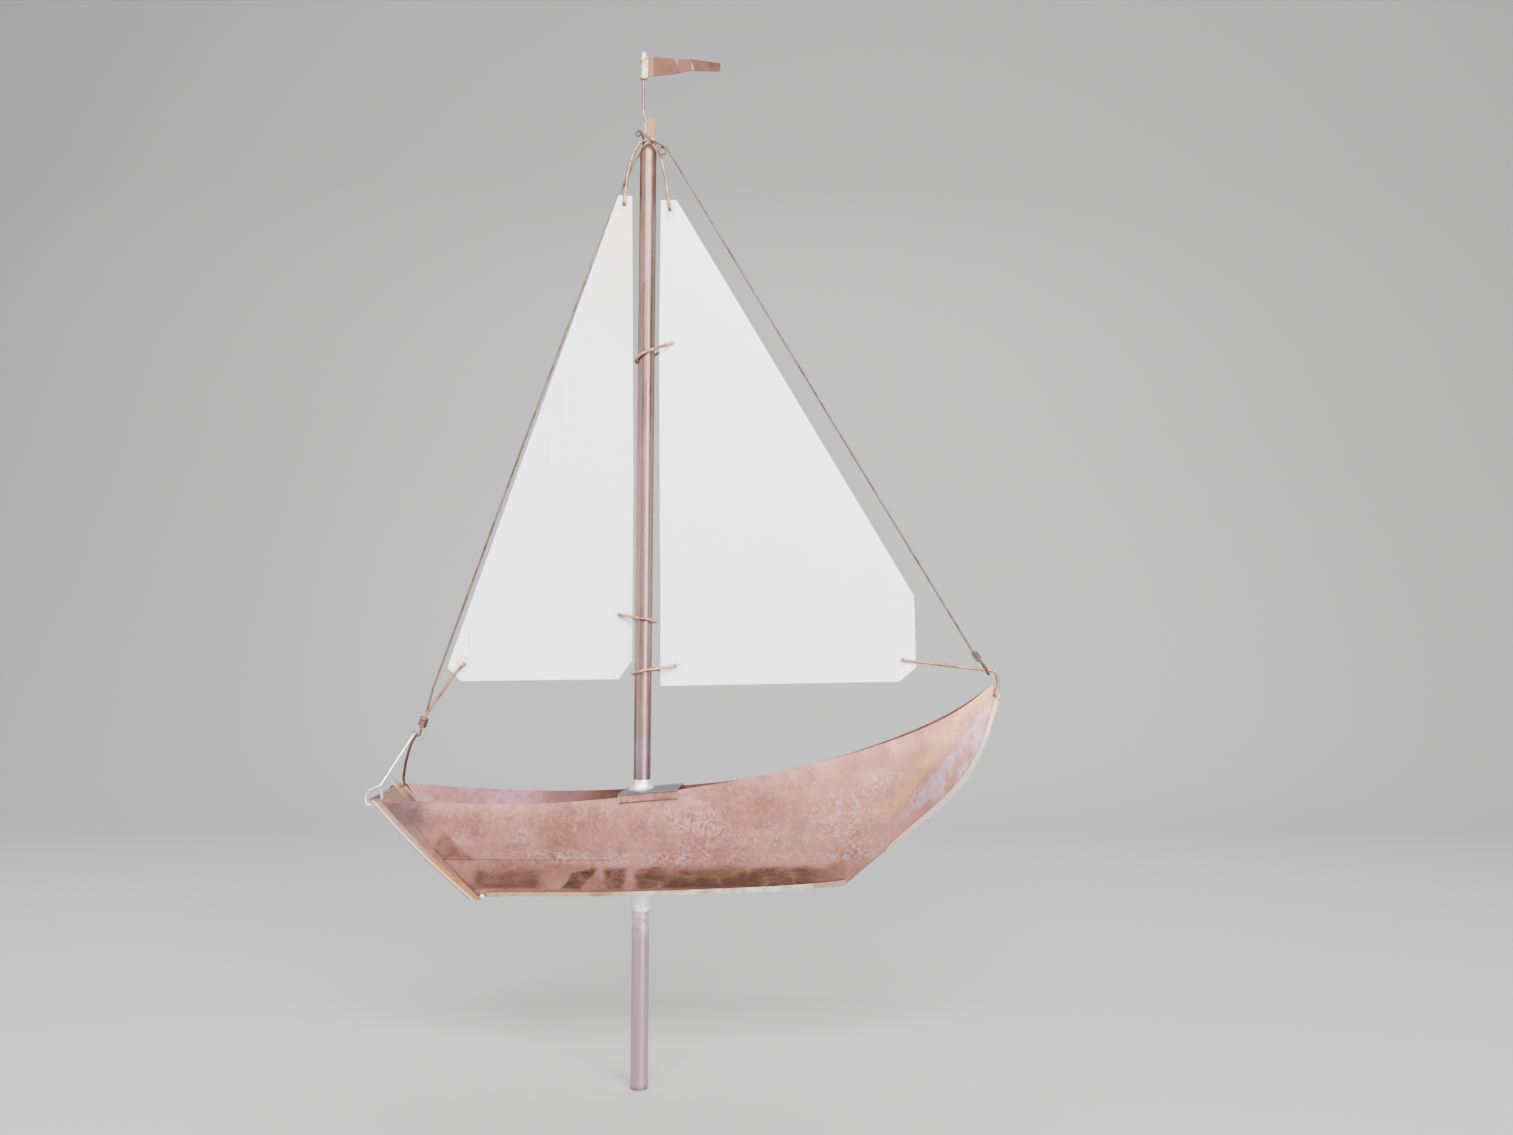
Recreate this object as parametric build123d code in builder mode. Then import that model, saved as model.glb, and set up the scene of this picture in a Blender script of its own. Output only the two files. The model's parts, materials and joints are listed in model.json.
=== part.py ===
from build123d import *
import math
import os

# Sailing-boat weather vane in sheet copper, millimetres.
# Origin: mast axis at the open lower end of the mast tube. +Z up the mast, +X to the bow, +Y to port.

os.makedirs("parts", exist_ok=True)

STARBOARD, PORT = -1, 1

# Mast and pivot
MAST_R = 15.875 / 2
MAST_BORE_R = 6.92
MAST_SHOULDER_Z = 867.0
MAST_TOP_Z = 879.0
MAST_MOUTH_R = 3.7
RUNNING_GAP = 0.05
POST_R = 5.0
POST_SOCKET_DEPTH = 84.0
SLEEVE_TOP_Z = 92.0
BALL_R = 4.0
BALL_SEAT_DEPTH = 2.4
PLUG_THICK = 12.0

# Sheet and wire
SHEET = 0.8
SAIL_THICK = 1.0
TIE_R = 1.45
STAY_R = 1.0
SAIL_HOLE_R = 1.9
TIE_STAND = SAIL_THICK / 2 + TIE_R + 0.15
LAP_GAP = 0.25

# Hull gunwale: x, half beam, starboard height, how much the port gunwale stands above the starboard one
SHEER = [
    (-236, 37.5, 260.4, 6.0),
    (-155, 38.5, 257.0, 5.0),
    (-96, 39.0, 257.0, 3.0),
    (-37, 39.0, 260.0, 0.5),
    (36, 38.0, 269.2, -4.0),
    (82, 36.0, 276.3, -6.5),
    (125, 32.5, 283.6, -6.5),
    (173, 26.5, 295.4, -5.0),
    (220, 19.0, 308.6, -2.5),
    (245, 14.5, 317.2, -1.0),
    (288, 7.0, 336.6, 0.5),
    (322.5, SHEET + 0.25, 362.4, 0.0),
]
STERN_SKEW = 6.4
# Lower edge of the sides: along the bottom plate, then up the stem
CHINE = [
    (-151.5, 18.0, 171.9),
    (-77, 21.0, 174.1),
    (0, 20.5, 174.4),
    (86, 14.5, 176.1),
    (140, 8.0, 177.4),
    (187, 2.6, 180.7),
]
STEM = [
    (187, 2.6, 180.7),
    (228, 1.3, 213.6),
    (267, SHEET + 0.25, 243.8),
    (304.4, SHEET + 0.25, 285.2),
    (321.5, SHEET + 0.25, 323.5),
    (330.7, SHEET + 0.25, 352.6),
]
BOTTOM_STATIONS = 5
STEM_STATIONS = 5
SHEER_AT_BOTTOM_END = 0.70
BULGE = [0.070, 0.095, 0.105, 0.105, 0.095, 0.075, 0.062, 0.050, 0.040, 0.025, 0.0]

# Transom
WEB_STAND = 4.6
WEB_THICK = 1.0
FOLD_R = 6.0
FLANGE_TOP, FLANGE_LOW = 28.0, 13.0
FLANGE_GAP = 0.35

# Deck plate (mast partner)
DECK_X0, DECK_X1 = -17.0, 36.0
DECK_Z0, DECK_SLOPE, DECK_ROLL = 265.8, 0.080, -0.045
DECK_FLANGE = 8.0
DECK_HALF = 41.6
MAST_HOLE_R = 8.1


def at(points, fraction):
    """Point a fraction of the way along a smooth line through the points."""
    return Spline(*points) @ fraction


def sheer_point(side, station):
    """Top edge of one side at a station; stations run from 0 at the stern to 10 at the bow tip."""
    if station <= BOTTOM_STATIONS:
        fraction = SHEER_AT_BOTTOM_END * station / BOTTOM_STATIONS
    else:
        rest = (station - BOTTOM_STATIONS) / STEM_STATIONS
        fraction = SHEER_AT_BOTTOM_END + (1 - SHEER_AT_BOTTOM_END) * rest
    skew = STERN_SKEW * max(0.0, 1 - station) if side == PORT else 0.0
    line = [(x, side * y, z + (lift if side == PORT else 0)) for x, y, z, lift in SHEER]
    return at(line, fraction) + Vector(skew, 0, 0)


def chine_point(side, station):
    """Bottom edge of one side at a station."""
    if station <= BOTTOM_STATIONS:
        return at([(x, side * y, z) for x, y, z in CHINE], station / BOTTOM_STATIONS)
    return at([(x, side * y, z) for x, y, z in STEM], (station - BOTTOM_STATIONS) / STEM_STATIONS)


def bulge(station):
    """How far the side stands out between its edges, as a share of the edge-to-edge distance."""
    low = min(int(station), len(BULGE) - 2)
    return BULGE[low] + (BULGE[low + 1] - BULGE[low]) * (station - low)


def side_frame(side, station):
    """Plane of one cross-section: x from gunwale to chine, y outward."""
    top, low = sheer_point(side, station), chine_point(side, station)
    along = (low - top).normalized()
    out = (Vector(0, side, 0) - along * (side * along.Y)).normalized()
    return Plane(origin=top, x_dir=along, z_dir=along.cross(out)), (low - top).length


def rise(x, length, height):
    """Height at x of the arc over a chord."""
    if height < 0.05:
        return 0.0
    radius = (length * length / 4 + height * height) / (2 * height)
    return math.sqrt(radius * radius - (x - length / 2) ** 2) - (radius - height)


def skin(side, station, below_top=None, above_low=None):
    """Point on the outer face of a side, by its distance from the gunwale or from the chine."""
    plane, length = side_frame(side, station)
    x = below_top if below_top is not None else length - above_low
    return plane.from_local_coords(Vector(x, rise(x, length, bulge(station) * length), 0))


def side_section(side, station):
    """Thin curved strip: one cross-section of a side panel."""
    plane, length = side_frame(side, station)
    height = bulge(station) * length
    with BuildSketch(plane) as section:
        with BuildLine():
            if height < 0.05:
                outer = Line((0, 0), (length, 0))
                inner = Line((0, -SHEET), (length, -SHEET))
            else:
                outer = ThreePointArc((0, 0), (length / 2, height), (length, 0))
                inner = ThreePointArc((0, -SHEET), (length / 2, height - SHEET), (length, -SHEET))
            Line(outer @ 0, inner @ 0)
            Line(outer @ 1, inner @ 1)
        make_face()
    return section.sketch


def bent_wire(points, bends, radius):
    """Round wire along straight runs joined by tangent bends."""
    with BuildPart() as wire:
        with BuildLine() as path:
            FilletPolyline(*points, radius=bends)
        with BuildSketch(Plane(origin=path.line @ 0, z_dir=path.line % 0)):
            Circle(radius)
        sweep()
    return wire.part


def finish(builder, name):
    """Names a finished piece and writes it."""
    builder.part.label = name
    export_step(builder.part, f"parts/{name}.step")


# ---------------------------------------------------------------- hull

TIP_HOLE = (326.0, 351.5)

with BuildPart() as starboard_side_panel:
    loft([side_section(STARBOARD, k) for k in range(BOTTOM_STATIONS + 1)])
    loft([side_section(STARBOARD, k) for k in range(BOTTOM_STATIONS, len(BULGE))])
    with BuildSketch(Plane.XZ):
        with Locations(TIP_HOLE):
            Circle(SAIL_HOLE_R)
    extrude(amount=20, both=True, mode=Mode.SUBTRACT)
finish(starboard_side_panel, "starboard_side_panel")

with BuildPart() as port_side_panel:
    loft([side_section(PORT, k) for k in range(BOTTOM_STATIONS + 1)])
    loft([side_section(PORT, k) for k in range(BOTTOM_STATIONS, len(BULGE))])
    with BuildSketch(Plane.XZ):
        with Locations(TIP_HOLE):
            Circle(SAIL_HOLE_R)
    extrude(amount=20, both=True, mode=Mode.SUBTRACT)
finish(port_side_panel, "port_side_panel")


BOTTOM_FLANGE = 5.0
PLATE_DROP = 0.15
STERN_NOTCH_X = -136.0


def bottom_section(station):
    """U-shaped cross-section of the bottom plate: flat floor and two flanges leaning with the sides."""
    low, top = chine_point(STARBOARD, station), skin(STARBOARD, station, above_low=BOTTOM_FLANGE)
    up = Vector(top.X - low.X, 0, top.Z - low.Z)
    height = up.length
    plane = Plane(origin=(low.X, 0, low.Z), x_dir=(0, 1, 0), z_dir=Vector(0, 1, 0).cross(up))
    foot, head = -low.Y + LAP_GAP, -top.Y + LAP_GAP
    half = [
        (foot, -PLATE_DROP),
        (head, height),
        (head + SHEET, height),
        (foot + SHEET, -PLATE_DROP - SHEET),
    ]
    with BuildSketch(plane) as section:
        with BuildLine():
            Polyline(*half, *[(-y, z) for y, z in reversed(half)], close=True)
        make_face()
    return section.sketch


with BuildPart() as bottom_plate:
    loft([bottom_section(k) for k in range(BOTTOM_STATIONS + 1)])
    with BuildSketch(Plane.XY.offset(160)):
        with Locations((STERN_NOTCH_X - 20, 40), (STERN_NOTCH_X - 20, -40)):
            Rectangle(40, 2 * (40 - 18.2))
        Circle(MAST_HOLE_R)
    extrude(amount=30, mode=Mode.SUBTRACT)
finish(bottom_plate, "bottom_plate")


def outer_half(side, x, z):
    """Half breadth of the outside of the hull's aft half at a point of its side view."""
    low, high = 0.0, float(BOTTOM_STATIONS)
    for _ in range(30):
        station = (low + high) / 2
        top, foot = sheer_point(side, station), chine_point(side, station)
        if top.X + (foot.X - top.X) * (z - top.Z) / (foot.Z - top.Z) < x:
            low = station
        else:
            high = station
    length = side_frame(side, station)[1]
    low, high = 0.0, length
    for _ in range(30):
        down = (low + high) / 2
        if skin(side, station, below_top=down).Z > z:
            low = down
        else:
            high = down
    return abs(skin(side, station, below_top=down).Y)


def web_x(side, z):
    """Outer face of the transom at a height, at one side."""
    top, low = sheer_point(side, 0), chine_point(side, 0)
    return low.X + (top.X - low.X) * (z - low.Z) / (top.Z - low.Z) - WEB_STAND


def transom_section(z):
    """Horizontal C-shaped section: web across the stern, rounded folds, flanges outside the sides."""
    share = (z - TRANSOM_LOW_Z) / (TRANSOM_TOP_Z - TRANSOM_LOW_Z)
    reach = FLANGE_LOW + (FLANGE_TOP - FLANGE_LOW) * share
    level = min(max(z, 172.5), 260.0)
    outer, inner = [], []
    for side in (STARBOARD, PORT):
        x = web_x(side, z)
        near = outer_half(side, x + WEB_STAND, level) + FLANGE_GAP + SHEET
        far = max(outer_half(side, x + reach, level), near - FLANGE_GAP - SHEET) + FLANGE_GAP + SHEET
        outer.append([(x + reach, side * far), (x, side * near)])
        inner.append([(x + reach, side * (far - SHEET)), (x + WEB_THICK, side * (near - SHEET))])
    with BuildSketch(Plane.XY.offset(z)) as section:
        with BuildLine():
            outside = FilletPolyline(*outer[0], *reversed(outer[1]), radius=FOLD_R)
            inside = FilletPolyline(*inner[0], *reversed(inner[1]), radius=FOLD_R - SHEET)
            Line(outside @ 0, inside @ 0)
            Line(outside @ 1, inside @ 1)
        make_face()
    return section.sketch


TRANSOM_LOW_Z, TRANSOM_TOP_Z = 169.5, 272.0
TOP_STARBOARD, TOP_PORT, TOP_FALL = 261.8, 268.4, -0.09
STARBOARD_EYE = (-31.0, 254.9)
PORT_EYE = (32.0, 264.7)
EYE_R = 1.9
LUG_R = 5.8
CUT_X = -260.0
LUG_RISE = 2.4

with BuildPart() as transom:
    loft([transom_section(z) for z in (TRANSOM_LOW_Z, 190, 215, 240, TRANSOM_TOP_Z)])
    with BuildSketch(Plane.YZ.offset(CUT_X)):
        with BuildLine():
            Polyline(
                (-60, TOP_STARBOARD - 2.2), (-37.5, TOP_STARBOARD), (37.5, TOP_PORT), (60, TOP_PORT + 2.2),
                (60, 300), (-60, 300), close=True,
            )
        make_face()
        with Locations((PORT_EYE[0], PORT_EYE[1] + LUG_RISE)):
            Circle(LUG_R, mode=Mode.SUBTRACT)
    extrude(amount=110, dir=(1, 0, TOP_FALL), mode=Mode.SUBTRACT)
    with BuildSketch(Plane.YZ.offset(CUT_X)):
        with Locations(STARBOARD_EYE, PORT_EYE):
            Circle(EYE_R)
    extrude(amount=60, mode=Mode.SUBTRACT)
finish(transom, "transom")


STRIP_GAP = 0.3
# Station and leg width: a narrow start at the foot of the stem, widest in the middle
STRIP_LEGS = [(6.0, 1.6), (6.4, 4.6), (7.0, 5.6), (8.0, 5.2), (9.0, 4.4), (9.85, 5.2)]


def strip_section(station, leg):
    """V-shaped section of the strip folded over the stem."""
    low, top = chine_point(STARBOARD, station), skin(STARBOARD, station, above_low=leg)
    up = Vector(top.X - low.X, 0, top.Z - low.Z)
    height = up.length
    plane = Plane(origin=(low.X, 0, low.Z), x_dir=(0, 1, 0), z_dir=Vector(0, 1, 0).cross(up))
    foot, head = -low.Y + STRIP_GAP, -top.Y + STRIP_GAP
    with BuildSketch(plane) as section:
        with BuildLine():
            Polyline((foot, -STRIP_GAP), (head, height), (head + SHEET, height), (foot + SHEET, 0))
            ThreePointArc((foot + SHEET, 0), (0, -STRIP_GAP - SHEET - 0.7), (-foot - SHEET, 0))
            Polyline((-foot - SHEET, 0), (-head - SHEET, height), (-head, height), (-foot, -STRIP_GAP))
            Line((-foot, -STRIP_GAP), (foot, -STRIP_GAP))
        make_face()
    return section.sketch


with BuildPart() as stem_strip:
    loft([strip_section(station, leg) for station, leg in STRIP_LEGS])
finish(stem_strip, "stem_strip")


def deck_height(x, y=0.0):
    """Top of the deck plate, which rises towards the bow and leans to port."""
    return DECK_Z0 + DECK_SLOPE * x + DECK_ROLL * y


def deck_line(y, drop):
    """Corner of the deck plate's cross-section at its aft end, by its drop below the top."""
    return y, deck_height(DECK_X0, y) - drop


with BuildPart() as deck_plate:
    edge = DECK_HALF + SHEET
    with BuildSketch(Plane.YZ.offset(DECK_X0)):
        with BuildLine():
            Polyline(
                deck_line(-edge, 0), deck_line(edge, 0), deck_line(edge, DECK_FLANGE),
                deck_line(DECK_HALF, DECK_FLANGE), deck_line(DECK_HALF, SHEET), deck_line(-DECK_HALF, SHEET),
                deck_line(-DECK_HALF, DECK_FLANGE), deck_line(-edge, DECK_FLANGE), close=True,
            )
        make_face()
    extrude(amount=DECK_X1 - DECK_X0, dir=(1, 0, DECK_SLOPE))
    for fold_side in (STARBOARD, PORT):
        outer_edges = deck_plate.edges().filter_by(lambda e: fold_side * e.center().Y > DECK_HALF + 0.6)
        fillet(outer_edges.sort_by(lambda e: e.center().Z)[-1], 1.2)
    with BuildSketch(Plane.XY.offset(240)):
        Circle(MAST_HOLE_R)
    extrude(amount=50, mode=Mode.SUBTRACT)
finish(deck_plate, "deck_plate")

# ---------------------------------------------------------------- mast, masthead and pivot

with BuildPart() as mast_tube:
    with BuildSketch(Plane.XZ):
        with BuildLine():
            Line((MAST_MOUTH_R, MAST_TOP_Z), (MAST_MOUTH_R, MAST_TOP_Z - 1.0))
            ThreePointArc(
                (MAST_MOUTH_R, MAST_TOP_Z - 1.0), (6.0, MAST_TOP_Z - 4.6), (MAST_BORE_R, MAST_SHOULDER_Z)
            )
            Polyline(
                (MAST_BORE_R, MAST_SHOULDER_Z), (MAST_BORE_R, 0.4), (MAST_BORE_R + 0.3, 0),
                (MAST_R - 0.2, 0), (MAST_R, 0.4), (MAST_R, MAST_SHOULDER_Z),
            )
            ThreePointArc((MAST_R, MAST_SHOULDER_Z), (6.9, MAST_TOP_Z - 3.8), (4.6, MAST_TOP_Z))
            Line((4.6, MAST_TOP_Z), (MAST_MOUTH_R, MAST_TOP_Z))
        make_face()
    revolve(axis=Axis.Z)
finish(mast_tube, "mast_tube")

BALL_Z = SLEEVE_TOP_Z - BALL_SEAT_DEPTH + BALL_R
PLUG_LOW_Z = BALL_Z + BALL_R + RUNNING_GAP
SLEEVE_R = MAST_BORE_R - RUNNING_GAP

with BuildPart() as pivot_sleeve:
    with BuildSketch(Plane.XZ):
        with BuildLine():
            Polyline(
                (POST_R, 0), (SLEEVE_R - 0.5, 0), (SLEEVE_R, 0.8), (SLEEVE_R, SLEEVE_TOP_Z - 0.8),
                (SLEEVE_R - 0.8, SLEEVE_TOP_Z), (0, SLEEVE_TOP_Z), (0, POST_SOCKET_DEPTH),
                (POST_R, POST_SOCKET_DEPTH), close=True,
            )
        make_face()
    revolve(axis=Axis.Z)
    with Locations((0, 0, BALL_Z)):
        Sphere(BALL_R + 0.02, mode=Mode.SUBTRACT)
finish(pivot_sleeve, "pivot_sleeve")

with BuildPart() as thrust_ball:
    with Locations((0, 0, BALL_Z)):
        Sphere(BALL_R)
finish(thrust_ball, "thrust_ball")

with BuildPart() as thrust_plug:
    with BuildSketch(Plane.XY.offset(PLUG_LOW_Z)):
        Circle(MAST_BORE_R - 0.01)
    extrude(amount=PLUG_THICK)
    chamfer(thrust_plug.edges().filter_by(GeomType.CIRCLE), 0.6)
finish(thrust_plug, "thrust_plug")

TAB_THICK = 1.6
TAB_EYE_Z = 886.0
TAB_EYE_X = 2.4

with BuildPart() as masthead_tab:
    with BuildSketch(Plane.XZ):
        with BuildLine():
            Polyline(
                (-1.4, 906.0), (-1.5, 890.0), (-1.2, 884.0), (-2.4, 878.0), (-2.4, 868.0),
                (2.4, 868.0), (2.4, 878.0), (5.6, 883.0), (6.3, 890.0), (6.8, 904.5),
                (5.6, 906.4), (0.2, 906.4), close=True,
            )
        make_face()
        with Locations((TAB_EYE_X, TAB_EYE_Z)):
            Circle(1.75, mode=Mode.SUBTRACT)
    extrude(amount=TAB_THICK / 2, both=True)
finish(masthead_tab, "masthead_tab")

CAP_R = MAST_MOUTH_R - 0.02

with BuildPart() as masthead_solder:
    with BuildSketch(Plane.XZ):
        with BuildLine():
            Polyline((0, 881.2), (0, 874.0), (CAP_R, 874.0), (CAP_R, MAST_TOP_Z + 0.3))
            ThreePointArc((CAP_R, MAST_TOP_Z + 0.3), (2.4, 880.8), (0, 881.2))
        make_face()
    revolve(axis=Axis.Z)
    add(masthead_tab.part, mode=Mode.SUBTRACT)
    add(mast_tube.part, mode=Mode.SUBTRACT)
finish(masthead_solder, "masthead_solder")


def solder_collar(low_z, high_z, low_r, high_r):
    """Ring of solder with a hollow flank round the mast."""
    with BuildPart() as ring:
        with BuildSketch(Plane.XZ):
            with BuildLine():
                waist = min(low_r, high_r) + 0.28 * abs(high_r - low_r)
                ThreePointArc((low_r, low_z), (waist, (low_z + high_z) / 2), (high_r, high_z))
                Polyline((high_r, high_z), (MAST_R, high_z), (MAST_R, low_z), (low_r, low_z))
            make_face()
        revolve(axis=Axis.Z)
    return ring.part


with BuildPart() as deck_solder_fillet:
    add(solder_collar(262.0, 274.6, 15.0, 8.25))
    with BuildSketch(Plane.YZ.offset(-30)):
        with BuildLine():
            Polyline(
                (-40, deck_height(-30, -40)), (40, deck_height(-30, 40)), (40, 220), (-40, 220), close=True
            )
        make_face()
    extrude(amount=60, dir=(1, 0, DECK_SLOPE), mode=Mode.SUBTRACT)
finish(deck_solder_fillet, "deck_solder_fillet")

with BuildPart() as keel_solder_fillet:
    add(solder_collar(157.0, 180.0, 8.3, 13.0))
    add(bottom_plate.part, mode=Mode.SUBTRACT)
    with BuildSketch(Plane.XZ):
        with BuildLine():
            floor = [(x, z - PLATE_DROP - SHEET / 2) for x, _, z in CHINE[1:4]]
            Polyline(*floor, (80, 200), (-70, 200), close=True)
        make_face()
    extrude(amount=40, both=True, mode=Mode.SUBTRACT)
finish(keel_solder_fillet, "keel_solder_fillet")

# ---------------------------------------------------------------- pennant

STAFF_X = -5.2
STAFF_R = 1.2
STAFF_FOOT_X = -1.5 - STAFF_R - 0.05

with BuildPart() as pennant_staff:
    add(bent_wire(
        [(STAFF_FOOT_X, 0, 889.5), (STAFF_FOOT_X, 0, 903.0), (STAFF_X, 0, 913.0), (STAFF_X, 0, 973.4)],
        [12.0, 12.0], STAFF_R,
    ))
finish(pennant_staff, "pennant_staff")

SLEEVE_Z0, SLEEVE_Z1 = 944.8, 970.6
ROLL_R = 3.5
FLAG_SHEET = 0.6
FLAG_WAVE = [(1.5, -2.6), (27.0, 1.4), (42.0, -4.0), (74.0, 2.6)]
FLAG_OUTLINE = [
    (1.0, 945.4), (14.0, 949.0), (29.1, 952.2), (43.6, 951.9), (68.8, 954.2),
    (69.2, 962.4), (41.2, 963.4), (25.9, 966.4), (1.0, 967.0),
]

with BuildPart() as pennant:
    with BuildSketch(Plane.XY.offset(SLEEVE_Z0)):
        with Locations((STAFF_X, 0)):
            Circle(ROLL_R)
    extrude(amount=SLEEVE_Z1 - SLEEVE_Z0)
    with BuildPart(mode=Mode.PRIVATE) as leaf:
        with BuildSketch(Plane.XY.offset(940)):
            with BuildLine() as wave:
                FilletPolyline((STAFF_X + 2.5, -ROLL_R + 1.5), *FLAG_WAVE, radius=5)
            trace(line_width=FLAG_SHEET)
        extrude(amount=40)
        with BuildSketch(Plane.XZ):
            with BuildLine():
                Polyline(*[(x if x > 2 else STAFF_X, z) for x, z in FLAG_OUTLINE], close=True)
            make_face()
        extrude(amount=30, both=True, mode=Mode.INTERSECT)
    add(leaf.part)
    with BuildSketch(Plane.XY.offset(940)):
        with Locations((STAFF_X, 0)):
            Circle(STAFF_R + RUNNING_GAP)
    extrude(amount=50, mode=Mode.SUBTRACT)
finish(pennant, "pennant")

# ---------------------------------------------------------------- sails

FORE_SAIL = [
    (12.6, 824.0), (27.4, 824.4), (251.8, 444.0), (253.1, 377.6), (237.7, 364.6), (16.4, 360.2),
    (15.4, 446.4), (12.2, 677.6),
]
AFT_SAIL = [
    (-28.3, 829.0), (-15.2, 828.0), (-12.9, 677.6), (-11.2, 560.0), (-10.4, 383.4), (-23.0, 366.4),
    (-168.8, 364.2), (-181.4, 377.2),
]
FORE_HEAD, FORE_CLEW = (21.3, 814.7), (241.1, 384.4)
FORE_UPPER, FORE_LOWER = (24.3, 683.9), (29.5, 378.5)
AFT_HEAD, AFT_CLEW, AFT_LUFF = (-22.7, 820.0), (-166.4, 379.6), (-22.6, 425.8)


def sail(outline, holes):
    """Flat painted sheet with clipped corners and tie holes."""
    with BuildPart() as sheet:
        with BuildSketch(Plane.XZ):
            with BuildLine():
                Polyline(*outline, close=True)
            make_face()
            with Locations(*holes):
                Circle(SAIL_HOLE_R, mode=Mode.SUBTRACT)
        extrude(amount=SAIL_THICK / 2, both=True)
    return sheet.part


with BuildPart() as fore_sail:
    add(sail(FORE_SAIL, [FORE_HEAD, FORE_CLEW, FORE_UPPER, FORE_LOWER]))
finish(fore_sail, "fore_sail")

with BuildPart() as aft_sail:
    add(sail(AFT_SAIL, [AFT_HEAD, AFT_CLEW, AFT_LUFF]))
finish(aft_sail, "aft_sail")

# ---------------------------------------------------------------- wires

RING_STAND = MAST_R + TIE_R + 0.35
HOOK_BEND = TIE_R + 0.35


def mast_ring(hole, far_x, far_z, toward):
    """Tie wire from a sail's hole round the mast and back behind the sail."""
    x, z = hole
    middle = (z + far_z) / 2
    return bent_wire(
        [
            (x, 3.4, z), (x, -TIE_STAND, z), (toward * 6, -RING_STAND, middle),
            (-toward * 4, -RING_STAND, far_z + 0.25 * (z - far_z)), (far_x, -3.5, far_z),
            (far_x, 4.0, far_z - 0.5), (-toward * 3, RING_STAND, far_z),
            (toward * 8, RING_STAND - 1, middle), (x - toward * 5, 2.6, z - 3.2),
        ],
        [HOOK_BEND, 6, 6, 3.2, 3.2, 5, 6], TIE_R,
    )


with BuildPart() as fore_sail_upper_ring:
    add(mast_ring(FORE_UPPER, -9.9, 667.0, 1))
finish(fore_sail_upper_ring, "fore_sail_upper_ring")

with BuildPart() as fore_sail_lower_ring:
    add(mast_ring(FORE_LOWER, -9.9, 371.5, 1))
finish(fore_sail_lower_ring, "fore_sail_lower_ring")

with BuildPart() as aft_sail_ring:
    add(mast_ring(AFT_LUFF, 10.6, 420.0, -1))
finish(aft_sail_ring, "aft_sail_ring")

with BuildPart() as head_tie:
    add(bent_wire(
        [
            (FORE_HEAD[0], 3.2, FORE_HEAD[1]), (FORE_HEAD[0], -TIE_STAND, FORE_HEAD[1]),
            (17.2, -2.4, 844.5), (12.4, -2.9, 866.0), (8.4, -3.6, 877.0), (TAB_EYE_X, -4.8, TAB_EYE_Z),
            (TAB_EYE_X, 4.6, TAB_EYE_Z), (-8.2, 4.2, 884.8), (-15.4, 0.0, 868.5), (-19.6, -2.2, 849.4),
            (AFT_HEAD[0], -TIE_STAND, AFT_HEAD[1]), (AFT_HEAD[0], 3.2, AFT_HEAD[1]),
        ],
        [HOOK_BEND, 20, 6, 6, 2.6, 2.6, 6, 20, 30, HOOK_BEND], TIE_R,
    ))
finish(head_tie, "head_tie")

with BuildPart() as fore_clew_tie:
    add(bent_wire(
        [
            (FORE_CLEW[0], 3.2, FORE_CLEW[1]), (FORE_CLEW[0], -TIE_STAND, FORE_CLEW[1]),
            (326.6, -2.4, 374.2), (328.6, -3.2, 364.0), (TIP_HOLE[0], -3.6, TIP_HOLE[1]),
            (TIP_HOLE[0], 4.2, TIP_HOLE[1]),
        ],
        [HOOK_BEND, 3.4, 8, HOOK_BEND], TIE_R,
    ))
finish(fore_clew_tie, "fore_clew_tie")

with BuildPart() as fore_stay:
    add(bent_wire(
        [
            (-1.6, -6.4, 885.2), (3.4, -7.6, 881.0), (16.6, -8.6, 873.8), (17.8, -7.9, 866.4),
            (10.9, -7.1, 866.4), (10.2, -6.3, 873.6), (17.8, -5.4, 875.0), (43.0, -0.8, 834.0),
            (174.6, 0.2, 612.0), (306.5, 0.8, 391.8), (314.5, 1.0, 381.5), (320.2, 0.7, 371.2),
            (320.0, -5.5, 371.2), (317.2, -5.5, 377.2), (313.6, -1.15, 382.8), (306.7, -1.15, 391.6),
        ],
        [6, 3.0, 3.0, 3.0, 2.6, 2.6, 200, 400, 20, 12, 2.3, 2.3, 3, 4], STAY_R,
    ))
finish(fore_stay, "fore_stay")

with BuildPart() as fore_stay_seizing:
    with BuildLine() as turns:
        Helix(pitch=1.6, height=8.2, radius=2.8, center=(307.0, -0.1, 391.2), direction=(0.613, 0, -0.790))
    with BuildSketch(Plane(origin=turns.line @ 0, z_dir=turns.line % 0)):
        Circle(0.6)
    sweep()
finish(fore_stay_seizing, "fore_stay_seizing")

with BuildPart() as aft_stay:
    add(bent_wire(
        [
            (-5.4, -4.4, 890.2), (-9.4, -3.2, 885.6), (-12.4, -1.2, 890.2), (-8.8, 2.0, 896.0),
            (-5.6, 6.6, 890.0), (-5.4, 8.0, 885.0), (-6.4, 7.6, 877.6), (-12.9, 4.8, 866.4),
            (-23.2, 2.8, 842.4), (-38.1, 2.2, 804.8), (-115.3, 1.6, 587.9), (-195.2, 1.6, 356.6),
            (-201.1, 1.6, 332.0), (-204.8, 1.6, 320.4), (-206.2, 1.6, 314.0), (-211.0, 1.6, 313.4),
            (-212.0, 1.6, 318.4),
        ],
        [2.6, 2.6, 3, 3, 3, 8, 12, 40, 100, 1500, 60, 20, 6, 2.0, 2.0], STAY_R,
    ))
finish(aft_stay, "aft_stay")

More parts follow.
